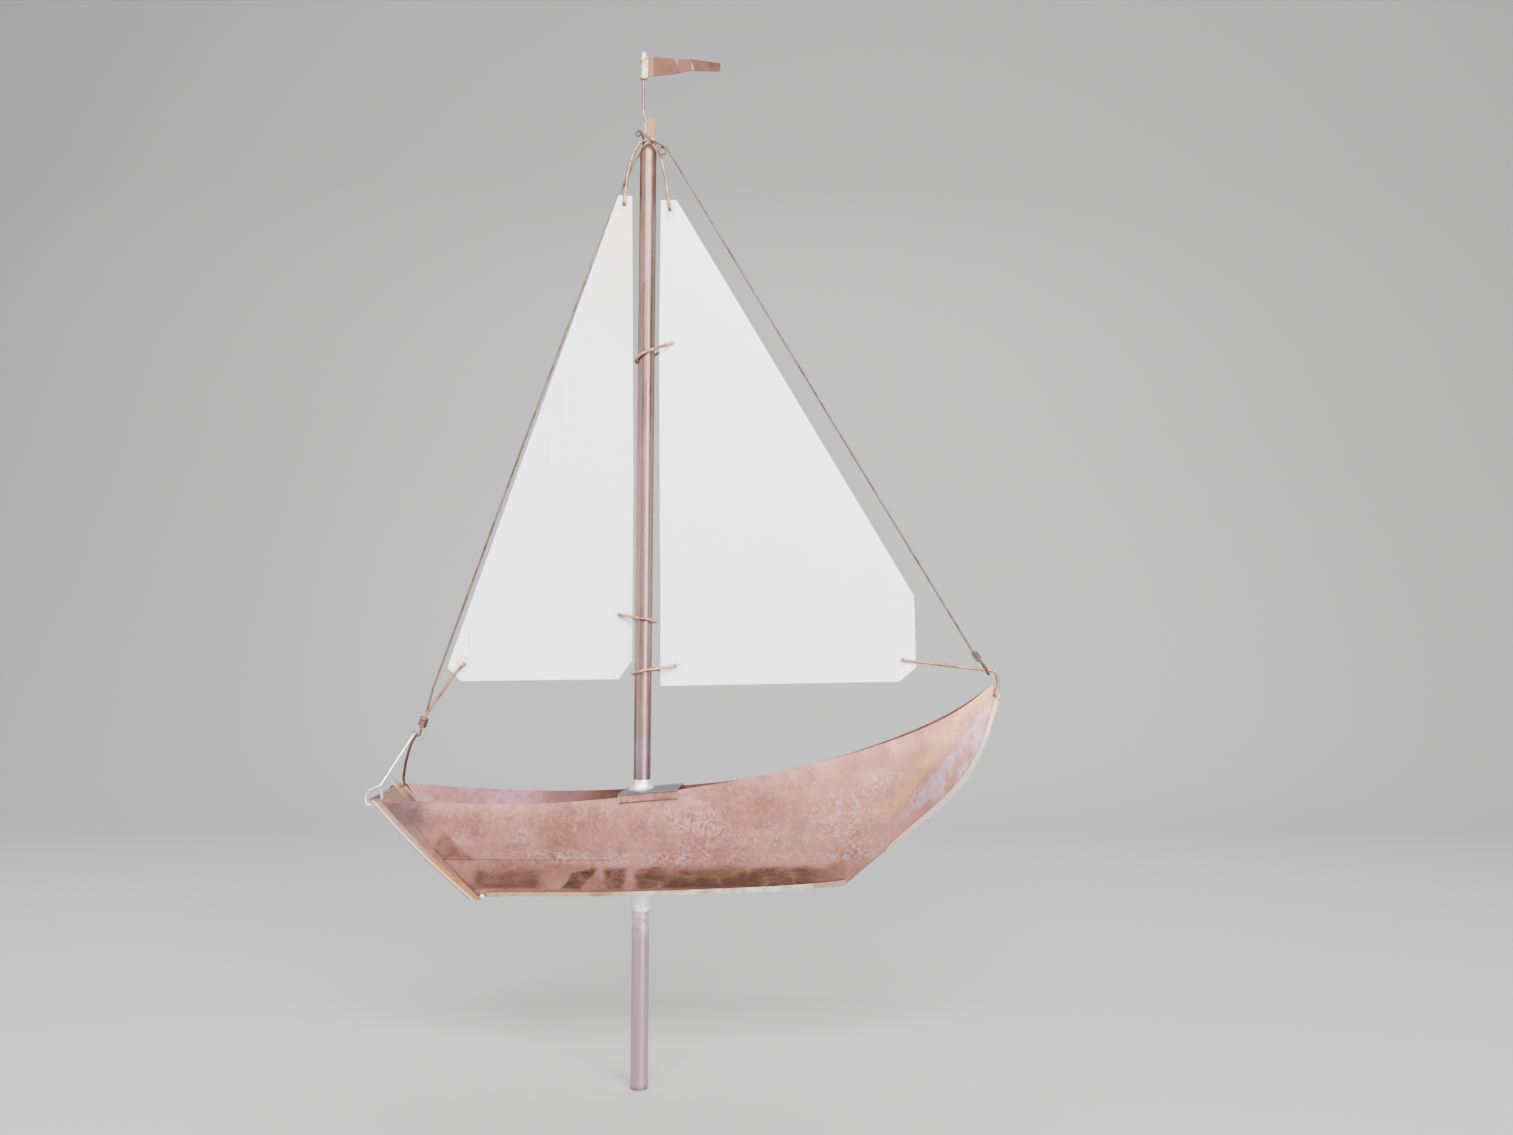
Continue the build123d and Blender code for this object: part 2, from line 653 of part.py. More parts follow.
with BuildPart() as aft_clew_tie:
    add(bent_wire(
        [
            (AFT_CLEW[0], 3.2, AFT_CLEW[1]), (AFT_CLEW[0], -TIE_STAND, AFT_CLEW[1]), (-173.6, -2.3, 371.6),
            (-185.4, -2.0, 354.4), (-200.8, -1.15, 332.6), (-204.8, -1.15, 320.2),
        ],
        [HOOK_BEND, 8, 60, 8], TIE_R,
    ))
finish(aft_clew_tie, "aft_clew_tie")

BRIDLE_R = 1.3

with BuildPart() as transom_bridle:
    add(bent_wire(
        [
            (-229.0, -32.6, 268.4), (-228.6, -31.4, 261.0), (-230.4, -31.0, 255.4), (-241.8, -31.0, 254.4),
            (-243.9, -31.0, 260.4), (-240.6, -30.8, 267.4), (-230.9, -29.2, 271.8), (-210.2, -3.4, 315.4),
            (-208.8, 3.4, 316.6), (-215.7, 7.4, 306.6), (-223.2, 17.2, 288.4), (-228.8, 29.6, 272.0),
            (-227.8, 32.0, 265.0), (-240.2, 32.0, 264.5), (-243.0, 32.0, 258.2),
        ],
        [2.6, 2.4, 2.4, 3, 5, 4, 2.6, 2.6, 40, 30, 3.0, 2.6, 2.4], BRIDLE_R,
    ))
finish(transom_bridle, "transom_bridle")

LASHING_R = 0.7

with BuildPart() as bridle_lashing:
    with BuildLine() as coil:
        Helix(pitch=1.75, height=8.4, radius=3.6, center=(-201.6, 0, 330.4), direction=(-0.304, 0, -0.953))
    with BuildSketch(Plane(origin=coil.line @ 0, z_dir=coil.line % 0)):
        Circle(LASHING_R)
    sweep()
finish(bridle_lashing, "bridle_lashing")

STAFF_SOLDER_Y = TAB_THICK / 2 + 0.02

with BuildPart() as staff_solder:
    with BuildSketch(Plane.XY.offset(892.0)):
        with BuildLine():
            Polyline((-4.6, 1.7), (-3.2, STAFF_R + 0.02), (-1.0, STAFF_SOLDER_Y), (0.2, STAFF_SOLDER_Y))
            ThreePointArc((0.2, STAFF_SOLDER_Y), (-1.8, 2.2), (-4.6, 1.7))
        make_face()
        with Locations((STAFF_FOOT_X, 0)):
            Circle(STAFF_R + 0.02, mode=Mode.SUBTRACT)
    extrude(amount=10.0)
finish(staff_solder, "staff_solder")

with BuildPart() as stern_solder:
    with BuildSketch(Plane.XZ):
        with BuildLine():
            Polyline((-153.0, 170.3), (-151.7, 170.4), (-151.7, 173.2))
            ThreePointArc((-151.7, 173.2), (-154.6, 174.0), (-158.4, 176.0))
            Line((-158.4, 176.0), (-153.0, 170.3))
        make_face()
    extrude(amount=12.5, both=True)
    for bead_side in (STARBOARD, PORT):
        bead_y = bead_side * (outer_half(bead_side, -139.6, 174.0) + 2.4)
        with Locations((-139.6, bead_y, 173.4)):
            Sphere(2.2)
finish(stern_solder, "stern_solder")
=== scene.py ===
import json
import math
import bpy
from mathutils import Matrix, Vector

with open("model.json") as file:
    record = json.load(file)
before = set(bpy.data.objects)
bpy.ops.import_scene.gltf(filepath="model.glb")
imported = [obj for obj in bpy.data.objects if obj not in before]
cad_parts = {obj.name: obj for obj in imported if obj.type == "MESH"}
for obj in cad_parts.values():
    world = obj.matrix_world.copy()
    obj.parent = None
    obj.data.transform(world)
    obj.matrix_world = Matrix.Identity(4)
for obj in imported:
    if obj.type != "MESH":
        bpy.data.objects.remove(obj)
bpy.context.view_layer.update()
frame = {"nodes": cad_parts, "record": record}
nodes = frame["nodes"]


# ---------------------------------------------------------------- shader helpers

class Shader:
    """A small builder for procedural node materials in object coordinates, metres."""

    def __init__(self, name):
        self.mat = bpy.data.materials.new(name)
        self.mat.use_nodes = True
        self.tree = self.mat.node_tree
        self.tree.nodes.clear()
        out = self.add("ShaderNodeOutputMaterial")
        self.bsdf = self.add("ShaderNodeBsdfPrincipled")
        self.link(self.bsdf.outputs["BSDF"], out.inputs["Surface"])
        coords = self.add("ShaderNodeTexCoord")
        self.here = coords.outputs["Object"]
        place = self.add("ShaderNodeSeparateXYZ")
        self.link(self.here, place.inputs[0])
        self.x, self.y, self.z = place.outputs
        facing = self.add("ShaderNodeSeparateXYZ")
        self.link(coords.outputs["Normal"], facing.inputs[0])
        self.face_x, self.face_y, self.face_z = facing.outputs

    def add(self, kind):
        return self.tree.nodes.new(kind)

    def link(self, source, target):
        self.tree.links.new(source, target)

    def put(self, socket, value):
        """Set a socket to a number or colour, or link another socket to it."""
        if isinstance(value, (int, float)):
            socket.default_value = value
        elif isinstance(value, tuple):
            socket.default_value = (*value, 1.0)
        else:
            self.link(value, socket)

    def math(self, operation, a, b=0.0, c=0.0):
        node = self.add("ShaderNodeMath")
        node.operation = operation
        for socket, value in zip(node.inputs, (a, b, c)):
            self.put(socket, value)
        return node.outputs[0]

    def times(self, first, *others):
        """Product of several sockets or numbers."""
        for other in others:
            first = self.math("MULTIPLY", first, other)
        return first

    def plus(self, a, b):
        return self.math("ADD", a, b)

    def size_of(self, value):
        return self.math("ABSOLUTE", value)

    def noise(self, scale, detail=4.0, rough=0.55, stretch=(1, 1, 1), shift=0.0, distortion=0.0):
        place = self.add("ShaderNodeMapping")
        place.inputs["Location"].default_value = (shift, shift * 0.7, shift * 1.3)
        place.inputs["Scale"].default_value = stretch
        self.link(self.here, place.inputs["Vector"])
        node = self.add("ShaderNodeTexNoise")
        self.link(place.outputs[0], node.inputs["Vector"])
        self.put(node.inputs["Scale"], scale)
        self.put(node.inputs["Detail"], detail)
        self.put(node.inputs["Roughness"], rough)
        self.put(node.inputs["Distortion"], distortion)
        return node.outputs["Fac"]

    def wander(self, noise, width):
        """Turn noise into a distance that wanders width / 2 to either side of zero."""
        return self.math("MULTIPLY_ADD", noise, width, -width / 2)

    def ramp(self, value, low, high, to_low=0.0, to_high=1.0):
        node = self.add("ShaderNodeMapRange")
        node.interpolation_type = "SMOOTHSTEP"
        self.put(node.inputs["Value"], value)
        self.put(node.inputs["From Min"], low)
        self.put(node.inputs["From Max"], high)
        self.put(node.inputs["To Min"], to_low)
        self.put(node.inputs["To Max"], to_high)
        return node.outputs["Result"]

    def mix(self, share, a, b):
        node = self.add("ShaderNodeMix")
        node.data_type = "RGBA"
        self.put(node.inputs[0], share)
        self.put(node.inputs[6], a)
        self.put(node.inputs[7], b)
        return node.outputs[2]

    def band(self, value, low, high, soft):
        """1 between low and high, falling to 0 over soft on each side."""
        up = self.ramp(value, low - soft, low + soft)
        down = self.ramp(value, high - soft, high + soft, 1.0, 0.0)
        return self.times(up, down)

    def line(self, start, end):
        """Distance from a slanted line in the side view, positive on its left looking along it."""
        (x0, z0), (x1, z1) = start, end
        length = math.hypot(x1 - x0, z1 - z0)
        nx, nz = (z0 - z1) / length, (x1 - x0) / length
        across = self.plus(self.times(self.x, nx), self.times(self.z, nz))
        return self.math("SUBTRACT", across, nx * x0 + nz * z0)

    def spot(self, x, z, rx, rz, soft=0.5):
        """1 inside an ellipse of the side view, falling to 0 outside it."""
        a = self.math("DIVIDE", self.math("SUBTRACT", self.x, x), rx)
        b = self.math("DIVIDE", self.math("SUBTRACT", self.z, z), rz)
        reach = self.math("SQRT", self.plus(self.times(a, a), self.times(b, b)))
        return self.ramp(reach, 1.0 - soft, 1.0 + soft, 1.0, 0.0)

    def bump(self, height, strength, distance, normal=None):
        node = self.add("ShaderNodeBump")
        node.inputs["Strength"].default_value = strength
        node.inputs["Distance"].default_value = distance
        self.link(height, node.inputs["Height"])
        if normal is not None:
            self.link(normal, node.inputs["Normal"])
        return node.outputs["Normal"]

    def done(self, color, rough, metallic, normal=None):
        self.put(self.bsdf.inputs["Base Color"], color)
        self.put(self.bsdf.inputs["Roughness"], rough)
        self.put(self.bsdf.inputs["Metallic"], metallic)
        if normal is not None:
            self.link(normal, self.bsdf.inputs["Normal"])
        return self.mat


# ---------------------------------------------------------------- wires

def wire_material(name, light, dark, rough=0.38, tinned=None):
    """Drawn wire with worn and darkened stretches; tinned gives the share that is nearly white."""
    scratch, tin = (0.16, 0.09, 0.07), (0.86, 0.83, 0.80)
    s = Shader(name)
    blotch = s.ramp(s.noise(70, 5, 0.6), 0.42, 0.64)
    fine = s.noise(900, 3, 0.6, stretch=(1, 1, 0.4))
    color = s.mix(blotch, light, dark)
    color = s.mix(s.ramp(fine, 0.40, 0.75, 0.0, 0.35), color, scratch)
    if tinned is not None:
        color = s.mix(tinned(s), color, tin)
    rough = s.ramp(s.noise(300, 3), 0.3, 0.7, rough - 0.07, rough + 0.14)
    return s.done(color, rough, 0.75, s.bump(fine, 0.3, 0.0002))


def starboard_leg(s):
    """The bridle's starboard half, which is tinned; the port half stays bare."""
    return s.ramp(s.y, -0.006, 0.004, 0.85, 0.0)


# ---------------------------------------------------------------- hull

# Lighter islands of patina on the hull: x, z and half sizes in the side view
PATINA = [
    (0.056, 0.234, 0.026, 0.022), (0.034, 0.247, 0.012, 0.010), (0.112, 0.226, 0.034, 0.010),
    (0.193, 0.243, 0.044, 0.026), (0.165, 0.222, 0.024, 0.010), (0.226, 0.266, 0.030, 0.022),
    (-0.158, 0.229, 0.012, 0.008), (-0.104, 0.229, 0.014, 0.006), (0.020, 0.209, 0.110, 0.006),
    (0.150, 0.208, 0.050, 0.006), (-0.070, 0.211, 0.050, 0.006), (0.205, 0.218, 0.026, 0.016),
]
# Dark stains above the bottom plate: x range at their middle height, lean, strength, softness
STAINS = [
    (-0.146, -0.086, 0.40, 0.78, 0.0060),
    (-0.062, -0.044, 0.75, 1.00, 0.0015),
    (-0.029, -0.012, 0.10, 0.95, 0.0030),
    (-0.001, 0.186, 0.30, 0.92, 0.0035),
]
STAIN_LOW, STAIN_HIGH = 0.1795, 0.1985
# Places in the side view, x and z
CREASE_AFT, CREASE_PEAK, CREASE_FORE = (-0.188, 0.208), (-0.170, 0.2345), (-0.142, 0.208)
STEM_LOW, STEM_HIGH = (0.245, 0.2330), (0.3245, 0.3330)
STERN_TOP, STERN_FOOT = (-0.2406, 0.2604), (-0.1561, 0.1719)
SEAM_TOP, SEAM_FOOT = (-0.2281, 0.2664), (-0.2192, 0.2510)
# The stern's blue-black heat tint
TEMPER = (0.100, 0.068, 0.078)


def hull_patina(s, color, smudge):
    """Pink islands with a fine curled edge."""
    blossom = (0.550, 0.280, 0.262)
    island = s.spot(*PATINA[0])
    for place in PATINA[1:]:
        island = s.math("MAXIMUM", island, s.spot(*place))
    curls = s.ramp(s.noise(290, 9, 0.74, shift=4.4, distortion=0.6), 0.45, 0.57)
    return s.mix(s.times(island, s.ramp(smudge, 0.36, 0.54), curls, 0.74), color, blossom)


def hull_stern(s, color, smudge):
    """Heat tint, a creased triangle and a fold line; gives the colour, the fold and the crease."""
    crease_brown, fold_brown = (0.140, 0.056, 0.034), (0.130, 0.055, 0.036)
    color = s.mix(s.times(s.spot(-0.204, 0.247, 0.018, 0.015, 0.7), 0.75), color, TEMPER)
    aft_side = s.ramp(s.line(CREASE_AFT, CREASE_PEAK), -0.0030, 0.0006, 1.0, 0.0)
    fore_side = s.ramp(s.line(CREASE_PEAK, CREASE_FORE), -0.0030, 0.0006, 1.0, 0.0)
    crease = s.times(aft_side, fore_side, s.ramp(s.z, 0.2060, 0.2105))
    color = s.mix(s.times(crease, s.ramp(smudge, 0.34, 0.62, 0.35, 0.95)), color, crease_brown)
    fold = s.times(s.band(s.z, 0.2080, 0.2092, 0.0009), s.band(s.x, -0.185, -0.020, 0.012))
    return s.mix(s.times(fold, 0.45), color, fold_brown), fold, crease


def hull_foot(s, color, smudge):
    """Dark stains with ragged tops, and a light worn line under them."""
    soot, olive, worn_edge = (0.058, 0.023, 0.012), (0.125, 0.060, 0.032), (0.50, 0.30, 0.18)
    level = s.plus(s.z, s.wander(s.noise(75, 7, 0.70, stretch=(0.6, 1, 1.6)), 0.024))
    drift = s.wander(s.noise(70, 5, 0.6, shift=8.0), 0.012)
    low = s.ramp(s.z, STAIN_LOW - 0.001, STAIN_LOW + 0.003)
    dark = s.mix(s.ramp(s.noise(55, 6, 0.7, stretch=(0.5, 1, 1.5), shift=9.0), 0.42, 0.62), soot, olive)
    above_middle = s.math("SUBTRACT", s.z, (STAIN_LOW + STAIN_HIGH) / 2)
    fade_forward = s.ramp(s.x, 0.140, 0.188, 1.0, 0.45)
    for aft, fore, lean, strength, soft in STAINS:
        upright_x = s.plus(s.math("SUBTRACT", s.x, s.times(above_middle, lean)), drift)
        high = s.ramp(level, STAIN_HIGH - soft, STAIN_HIGH + soft, 1.0, 0.0)
        worn = s.ramp(s.noise(75, 7, 0.72), 0.30, 0.54, 0.50 * strength, strength)
        patch = s.times(high, low, s.band(upright_x, aft, fore, soft), fade_forward, worn)
        color = s.mix(patch, color, dark)
    foot = s.times(s.band(s.z, 0.1748, 0.1782, 0.0012), s.band(s.x, -0.150, 0.185, 0.004))
    return s.mix(s.times(foot, s.ramp(smudge, 0.35, 0.60, 0.2, 0.7)), color, worn_edge)


def hull_bow(s, color, smudge):
    """Tan diagonal, then lilac heat streaks that follow the stem, a pale painted highlight along the stem
    edge, and a tan tip.
    """
    tan, lilac, pale, tip = (0.43, 0.215, 0.105), (0.42, 0.285, 0.375), (0.60, 0.45, 0.47), (0.47, 0.27, 0.16)
    inward = s.plus(s.line(STEM_LOW, STEM_HIGH), s.wander(s.noise(42, 5, 0.62, shift=6.0), 0.020))
    streak = s.noise(110, 6, 0.68, stretch=(1, 1, 0.6))
    diagonal = s.times(s.band(inward, 0.017, 0.031, 0.006), s.ramp(s.z, 0.225, 0.250))
    color = s.mix(s.times(diagonal, s.ramp(smudge, 0.34, 0.56, 0.1, 0.80)), color, tan)
    stripe = s.times(s.band(inward, 0.004, 0.011, 0.003), s.ramp(s.z, 0.226, 0.262))
    color = s.mix(s.times(stripe, s.ramp(streak, 0.36, 0.60, 0.15, 0.85)), color, lilac)
    # Painted highlight: pale streaks along the stem edge
    edge = s.times(s.ramp(inward, 0.001, 0.006, 1.0, 0.0), s.ramp(s.z, 0.246, 0.276))
    color = s.mix(s.times(edge, s.ramp(streak, 0.38, 0.66, 0.10, 0.75)), color, pale)
    return s.mix(s.times(s.spot(0.322, 0.352, 0.016, 0.018), 0.6), color, tip)


def hull_inside(s):
    """Inside faces: pink to lilac at the stern, brown towards the mast as painted shade, and a painted shadow
    line along the port seam.
    """
    lilac, rose, brown = (0.54, 0.29, 0.34), (0.40, 0.185, 0.185), (0.16, 0.066, 0.052)
    fleck, painted_seam_shadow = (0.26, 0.115, 0.100), (0.03, 0.015, 0.012)
    color = s.mix(s.ramp(s.noise(30, 5, 0.6), 0.38, 0.62), lilac, rose)
    # Painted shade: the inside darkens to brown towards the mast
    color = s.mix(s.ramp(s.x, -0.135, -0.030), color, brown)
    color = s.mix(s.ramp(s.noise(160, 5, 0.65), 0.50, 0.62, 0.0, 0.5), color, fleck)
    # Painted shadow: a black line where the port panel's aft edge meets the transom flange
    seam_shadow_mask = s.times(s.band(s.line(SEAM_TOP, SEAM_FOOT), -0.0012, 0.0006, 0.0006), s.ramp(s.y, 0.015, 0.020))
    return s.mix(s.times(seam_shadow_mask, 0.9), color, painted_seam_shadow)


def hull_material():
    brown, rose = (0.270, 0.103, 0.080), (0.380, 0.165, 0.138)
    dark_smudge, light_mottle = (0.180, 0.066, 0.048), (0.470, 0.228, 0.198)
    s = Shader("hull_copper")
    cloud = s.noise(16, 5, 0.6, shift=3.1)
    mottle = s.noise(230, 9, 0.74, shift=1.7, distortion=0.5)
    smudge = s.noise(60, 7, 0.72, shift=5.0)
    color = s.mix(s.ramp(cloud, 0.36, 0.66), brown, rose)
    color = s.mix(s.ramp(smudge, 0.46, 0.66, 0.0, 0.60), color, dark_smudge)
    color = s.mix(s.ramp(mottle, 0.48, 0.66, 0.0, 0.42), color, light_mottle)
    color = hull_patina(s, color, smudge)
    color, fold, crease = hull_stern(s, color, smudge)
    color = hull_foot(s, color, smudge)
    color = hull_bow(s, color, smudge)
    inner = s.ramp(s.times(s.y, s.face_y), -0.0004, 0.0004, 1.0, 0.0)
    color = s.mix(inner, color, hull_inside(s))
    waves = s.noise(13, 2, 0.5, stretch=(1, 1, 1.4), shift=2.2)
    creases = s.plus(s.times(fold, 0.12), s.times(crease, 0.10))
    dents = s.bump(s.plus(waves, creases), 0.60, 0.006)
    grain = s.bump(s.noise(420, 4, 0.6), 0.18, 0.0003, dents)
    return s.done(color, s.ramp(mottle, 0.35, 0.70, 0.36, 0.56), s.ramp(inner, 0.0, 1.0, 0.55, 0.25), grain)


def transom_material():
    """Fold band pink above and orange below, lighter than the flat faces as painted highlight, with wear and
    a painted glint line; flat faces as the hull; dull inside.
    """
    brown, rose, amber = (0.265, 0.118, 0.090), (0.340, 0.165, 0.130), (0.46, 0.235, 0.110)
    orange, pink, wear = (0.60, 0.250, 0.082), (0.47, 0.275, 0.225), (0.34, 0.16, 0.11)
    painted_glint, lug_tan = (0.92, 0.80, 0.70), (0.52, 0.37, 0.25)
    dull_low, dull_high = (0.20, 0.135, 0.120), (0.30, 0.18, 0.125)
    s = Shader("transom_copper")
    cloud = s.noise(60, 5, 0.6)
    flat = s.mix(s.ramp(cloud, 0.38, 0.64), brown, rose)
    flat = s.mix(s.times(s.spot(-0.212, 0.250, 0.022, 0.016, 0.6), 0.6), flat, TEMPER)
    flat = s.mix(s.ramp(s.z, 0.176, 0.205, 0.75, 0.0), flat, amber)
    level = s.plus(s.z, s.times(s.noise(80, 4, 0.6), 0.02))
    # The fold band is worn copper painted lighter than the flat faces as a painted highlight
    bright = s.mix(s.ramp(level, 0.212, 0.236), orange, pink)
    bright = s.mix(s.ramp(s.noise(260, 5, 0.65), 0.48, 0.66, 0.0, 0.7), bright, wear)
    from_edge = s.line(STERN_TOP, STERN_FOOT)
    # Painted highlight: a near-white glint line along the fold
    bright = s.mix(s.times(s.band(from_edge, 0.0026, 0.0050, 0.0006), 0.8), bright, painted_glint)
    sideways = s.ramp(s.size_of(s.face_y), 0.15, 0.35)
    color = s.mix(s.times(s.ramp(from_edge, 0.0080, 0.0098, 1.0, 0.0), sideways), flat, bright)
    inside = s.mix(s.ramp(cloud, 0.4, 0.6), dull_low, dull_high)
    color = s.mix(s.ramp(s.face_x, 0.25, 0.45), color, inside)
    port_lug = s.times(s.spot(-0.234, 0.266, 0.010, 0.010), s.ramp(s.y, 0.020, 0.026), 0.8)
    color = s.mix(port_lug, color, lug_tan)
    dents = s.bump(s.noise(45, 3, 0.5), 0.4, 0.0015)
    grain = s.bump(s.noise(500, 3), 0.2, 0.0002, dents)
    return s.done(color, s.ramp(cloud, 0.3, 0.7, 0.26, 0.42), 0.6, grain)


def keel_material():
    """Bottom plate: pale worn edge that goes golden to the stern and pink to the bow; dull inside."""
    gold, dark_gold, cream = (0.70, 0.46, 0.26), (0.42, 0.22, 0.12), (0.90, 0.84, 0.74)
    tan, pink, fleck = (0.66, 0.46, 0.32), (0.50, 0.30, 0.27), (0.25, 0.13, 0.08)
    dull_dark, dull_light = (0.150, 0.064, 0.048), (0.240, 0.110, 0.088)
    s = Shader("keel_copper")
    patch = s.ramp(s.noise(60, 5, 0.65, stretch=(1, 1, 2)), 0.40, 0.60)
    color = s.mix(s.band(s.x, -0.004, 0.150, 0.012), s.mix(patch, gold, dark_gold), s.mix(patch, cream, tan))
    color = s.mix(s.ramp(s.x, 0.155, 0.172), color, pink)
    color = s.mix(s.ramp(s.noise(300, 5, 0.65), 0.55, 0.70, 0.0, 0.6), color, fleck)
    color = s.mix(s.ramp(s.face_z, 0.40, 0.75), color, s.mix(patch, dull_dark, dull_light))
    return s.done(color, 0.34, 0.65, s.bump(s.noise(120, 4), 0.3, 0.0006))


def stem_material():
    """Strip over the stem: golden foot, lilac middle, tan tip, and a near-white painted highlight along the
    rounded edge where it faces forward.
    """
    lilac, tan_pink, gold = (0.62, 0.49, 0.52), (0.60, 0.42, 0.34), (0.68, 0.44, 0.25)
    tan, bright, fleck = (0.58, 0.38, 0.24), (0.88, 0.82, 0.78), (0.36, 0.21, 0.15)
    s = Shader("stem_copper")
    cloud = s.noise(70, 5, 0.6)
    color = s.mix(s.ramp(cloud, 0.40, 0.62), lilac, tan_pink)
    color = s.mix(s.ramp(s.z, 0.205, 0.255, 1.0, 0.0), color, gold)
    color = s.mix(s.ramp(s.z, 0.325, 0.345), color, tan)
    # Painted highlight on the forward-facing rounded edge
    edge = s.times(s.ramp(s.size_of(s.face_y), 0.60, 0.95, 0.9, 0.0), s.ramp(s.z, 0.238, 0.268))
    color = s.mix(edge, color, bright)
    color = s.mix(s.ramp(s.noise(320, 5, 0.65), 0.54, 0.68, 0.0, 0.5), color, fleck)
    return s.done(color, s.ramp(cloud, 0.3, 0.7, 0.28, 0.42), 0.6, s.bump(s.noise(150, 4), 0.3, 0.0005))


# The deck plate's slope forward and its roll to port, as rise per metre
DECK_SLOPE, DECK_ROLL = 0.080, -0.045


def deck_material():
    """Painted shade, dark blue-grey, on top and over the bend; hull colour on the folded flanges."""
    black, shade_slate = (0.036, 0.036, 0.048), (0.062, 0.060, 0.075)
    brown, rose, bright = (0.290, 0.115, 0.088), (0.385, 0.172, 0.138), (0.74, 0.55, 0.44)
    s = Shader("deck_copper")
    cloud = s.noise(90, 5, 0.6)
    # Painted shade: the dark blue-grey top colour stands for the shadow on the plate's top
    top = s.mix(s.ramp(cloud, 0.40, 0.62), black, shade_slate)
    side = s.mix(s.ramp(cloud, 0.40, 0.62), brown, rose)
    side = s.mix(s.ramp(s.x, -0.0168, -0.0150, 0.55, 0.0), side, bright)
    slope = s.plus(s.times(s.x, -DECK_SLOPE), s.times(s.y, -DECK_ROLL))
    shaded_crest = s.ramp(s.plus(s.z, slope), 0.2622, 0.2644)
    upward = s.ramp(s.size_of(s.face_z), 0.55, 0.80)
    color = s.mix(s.math("MAXIMUM", upward, s.times(shaded_crest, 0.85)), side, top)
    return s.done(color, s.ramp(cloud, 0.3, 0.7, 0.30, 0.46), 0.6, s.bump(s.noise(200, 4), 0.3, 0.0004))


# ---------------------------------------------------------------- mast, pennant and solder

def mast_material():
    """Drawn tube, taupe, growing lighter pink-lilac towards the foot as painted highlight, a dark crown,
    solder smears at the hull.
    """
    taupe, rose, scratch = (0.150, 0.084, 0.064), (0.225, 0.135, 0.115), (0.085, 0.042, 0.031)
    lilac, painted_foot_highlight, speck = (0.330, 0.205, 0.200), (0.530, 0.365, 0.380), (0.48, 0.33, 0.29)
    tin, violet = (0.70, 0.66, 0.64), (0.34, 0.24, 0.33)
    crown, mouth = (0.20, 0.11, 0.070), (0.24, 0.13, 0.10)
    s = Shader("mast_copper")
    cloud = s.noise(30, 5, 0.6, stretch=(1, 1, 0.35))
    fine = s.noise(260, 5, 0.65, stretch=(1, 1, 0.3))
    color = s.mix(s.ramp(cloud, 0.38, 0.62), taupe, rose)
    color = s.mix(s.ramp(fine, 0.50, 0.70, 0.0, 0.55), color, scratch)
    # Painted highlight: the tube grows lighter pink-lilac from the middle down to the foot
    color = s.mix(s.ramp(s.z, 0.420, 0.760, 0.55, 0.0), color, lilac)
    color = s.mix(s.ramp(s.z, 0.120, 0.320, 0.72, 0.0), color, painted_foot_highlight)
    color = s.mix(s.ramp(s.noise(520, 4, 0.6), 0.62, 0.70, 0.0, 0.5), color, speck)
    smear = s.times(s.band(s.z, 0.138, 0.166, 0.008), s.ramp(s.noise(120, 5, 0.7), 0.42, 0.58))
    color = s.mix(s.times(smear, 0.75), color, tin)
    heat = s.times(s.band(s.z, 0.276, 0.312, 0.012), s.ramp(s.noise(60, 4), 0.4, 0.6, 0.1, 0.6))
    color = s.mix(heat, color, violet)
    color = s.mix(s.ramp(s.z, 0.850, 0.872), color, crown)
    color = s.mix(s.ramp(s.z, 0.0005, 0.006, 0.7, 0.0), color, mouth)
    dents = s.bump(s.noise(40, 2, 0.5, stretch=(1, 1, 0.5)), 0.25, 0.001)
    return s.done(color, s.ramp(cloud, 0.3, 0.7, 0.30, 0.46), 0.88, s.bump(fine, 0.2, 0.0002, dents))


def plain_metal(name, base, other, rough=0.4, metallic=0.75, scale=40):
    """One metal with soft clouds of a second tone and a fine grain."""
    s = Shader(name)
    cloud = s.noise(scale, 5, 0.6)
    color = s.mix(s.ramp(cloud, 0.38, 0.64), base, other)
    grain = s.bump(s.noise(700, 3, 0.6), 0.2, 0.0002)
    return s.done(color, s.ramp(cloud, 0.3, 0.7, rough - 0.08, rough + 0.12), metallic, grain)


def pennant_material():
    """Cream tinned roll round the staff, dark brown leaf; the facet between its folds is painted lighter as
    painted light, and the tail facet darker as painted shade.
    """
    dark, brown, painted_lit_facet = (0.066, 0.027, 0.018), (0.105, 0.045, 0.031), (0.235, 0.102, 0.078)
    tip, root, cream, worn = (0.058, 0.027, 0.016), (0.22, 0.13, 0.08), (0.66, 0.56, 0.42), (0.28, 0.18, 0.12)
    leaf_middle_z, fold_lean = 0.958, 0.32
    s = Shader("pennant_copper")
    cloud = s.noise(120, 5, 0.6)
    leaf = s.mix(s.ramp(cloud, 0.40, 0.62), dark, brown)
    leaned_x = s.plus(s.x, s.times(s.math("SUBTRACT", s.z, leaf_middle_z), fold_lean))
    # Painted light on the middle facet, as if lit; painted shade on the tail facet beyond it
    leaf = s.mix(s.times(s.band(leaned_x, 0.0275, 0.0425, 0.0012), 0.85), leaf, painted_lit_facet)
    leaf = s.mix(s.ramp(leaned_x, 0.0420, 0.0435), leaf, tip)
    leaf = s.mix(s.ramp(s.x, 0.002, 0.006, 0.6, 0.0), leaf, root)
    roll = s.mix(s.ramp(s.noise(260, 5, 0.6), 0.42, 0.66), cream, worn)
    color = s.mix(s.ramp(s.x, -0.0018, -0.0002), roll, leaf)
    dents = s.bump(s.noise(60, 3), 0.3, 0.0008)
    grain = s.bump(s.noise(500, 3), 0.2, 0.0002, dents)
    return s.done(color, s.ramp(cloud, 0.3, 0.7, 0.48, 0.62), 0.85, grain)


